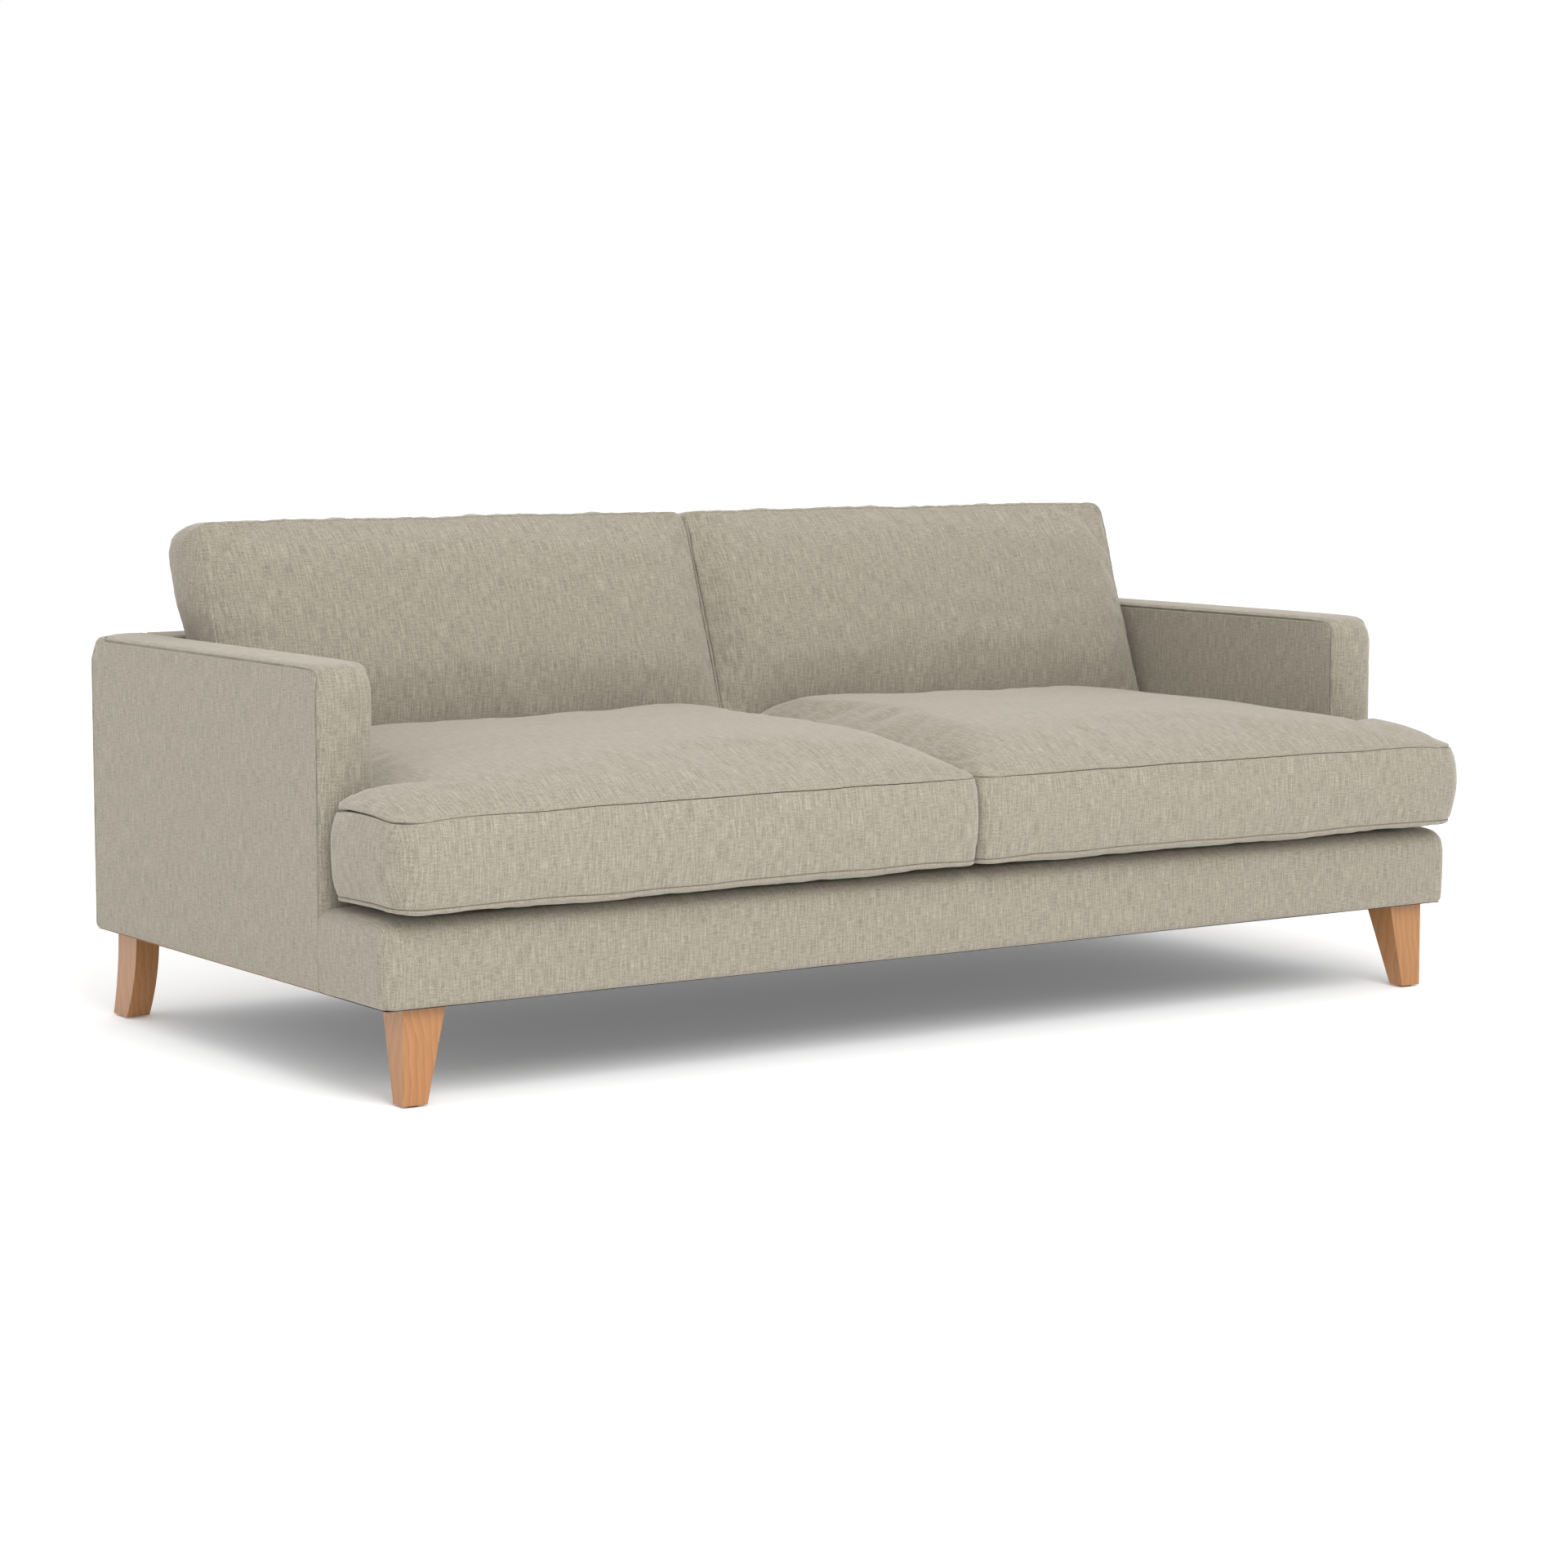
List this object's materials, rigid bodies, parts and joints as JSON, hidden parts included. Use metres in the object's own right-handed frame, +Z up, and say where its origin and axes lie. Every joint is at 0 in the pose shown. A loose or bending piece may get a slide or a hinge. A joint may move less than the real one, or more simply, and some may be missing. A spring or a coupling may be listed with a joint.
{
  "type": "sofa with wooden legs",
  "caption": "Low upholstered sofa with set-back track arms, L-shaped loose seat cushions, boxed loose back cushions and tapered wooden legs.",
  "frame": {"origin": "middle of the footprint at floor level", "axes": "+X is the right-hand side seen from the front, the front faces -Y, +Z is up"},
  "size_m": [2.1, 1.074, 0.8299],
  "materials": {
    "frame_timber": "planed, unfinished",
    "fibreboard": "raw fibreboard",
    "plated_steel": "zinc plated",
    "zip_metal": "antique plated",
    "webbing": "woven elastic",
    "felt": "needled felt",
    "zip_tape": "woven tape",
    "dust_cloth": "black non-woven",
    "leg_wood": "satin lacquered beech",
    "glide_nylon": "moulded nylon",
    "foam": "cut foam",
    "deck_cloth": "plain woven",
    "upholstery_fabric": "melange linen-look plain weave"
  },
  "bodies": {
    "frame": {"front_rail": "frame_timber", "rear_rail": "frame_timber", "side_rails": "frame_timber", "cross_rails": "frame_timber", "spring_rail": "frame_timber", "corner_blocks": "frame_timber", "arm_posts": "frame_timber", "arm_top_rails": "frame_timber", "back_posts": "frame_timber", "back_struts": "frame_timber", "back_top_rail": "frame_timber", "arm_outer_boards": "fibreboard", "arm_inner_boards": "fibreboard", "back_board": "fibreboard", "seat_springs": "plated_steel", "spring_clips": "plated_steel", "back_webbing": "webbing", "seat_felt": "felt", "seat_platform": "deck_cloth", "base_pad": "foam", "arm_band_pads": "foam", "arm_inner_pads": "foam", "back_pad": "foam", "back_top_pad": "foam", "base_cover": "upholstery_fabric", "arm_outer_cover_left": "upholstery_fabric", "arm_outer_cover_right": "upholstery_fabric", "arm_inner_cover_left": "upholstery_fabric", "arm_inner_cover_right": "upholstery_fabric", "arm_band_left": "upholstery_fabric", "arm_band_right": "upholstery_fabric", "back_inner_cover": "upholstery_fabric", "back_outer_cover": "upholstery_fabric", "back_top_cover": "upholstery_fabric", "dust_cover": "dust_cloth", "front_leg_left": "leg_wood", "front_leg_right": "leg_wood", "rear_leg_left": "leg_wood", "rear_leg_right": "leg_wood", "leg_bolts": "plated_steel", "tee_nuts": "plated_steel", "foot_glides": "glide_nylon"},
    "seat_cushion_left": {"seat_cover_left": "upholstery_fabric", "seat_foam_left": "foam", "seat_zip_left": "zip_tape"},
    "back_cushion_left": {"back_cover_left": "upholstery_fabric", "back_fill_left": "foam", "back_zip_left": "zip_tape"},
    "seat_pull_left": {"seat_zip_pull_left": "zip_metal"},
    "back_pull_left": {"back_zip_pull_left": "zip_metal"},
    "seat_cushion_right": {"seat_cover_right": "upholstery_fabric", "seat_foam_right": "foam", "seat_zip_right": "zip_tape"},
    "back_cushion_right": {"back_cover_right": "upholstery_fabric", "back_fill_right": "foam", "back_zip_right": "zip_tape"},
    "seat_pull_right": {"seat_zip_pull_right": "zip_metal"},
    "back_pull_right": {"back_zip_pull_right": "zip_metal"}
  },
  "joints": [
    {"name": "seat_left_pull_out", "type": "slide", "parent": "frame", "child": "seat_cushion_left", "axis": [0, -1, 0], "range_m": [0, 0.84]},
    {"name": "seat_right_pull_out", "type": "slide", "parent": "frame", "child": "seat_cushion_right", "axis": [0, -1, 0], "range_m": [0, 0.84]},
    {"name": "back_left_lift_out", "type": "slide", "parent": "frame", "child": "back_cushion_left", "axis": [0, 0.3355, 0.9421], "range_m": [0, 0.45]},
    {"name": "back_right_lift_out", "type": "slide", "parent": "frame", "child": "back_cushion_right", "axis": [0, 0.3355, 0.9421], "range_m": [0, 0.45]},
    {"name": "seat_left_zip", "type": "slide", "parent": "seat_cushion_left", "child": "seat_pull_left", "axis": [1, 0, 0], "range_m": [0, 0.66]},
    {"name": "seat_right_zip", "type": "slide", "parent": "seat_cushion_right", "child": "seat_pull_right", "axis": [-1, 0, 0], "range_m": [0, 0.66]},
    {"name": "back_left_zip", "type": "slide", "parent": "back_cushion_left", "child": "back_pull_left", "axis": [1, 0, 0], "range_m": [0, 0.645]},
    {"name": "back_right_zip", "type": "slide", "parent": "back_cushion_right", "child": "back_pull_right", "axis": [-1, 0, 0], "range_m": [0, 0.645]}
  ]
}
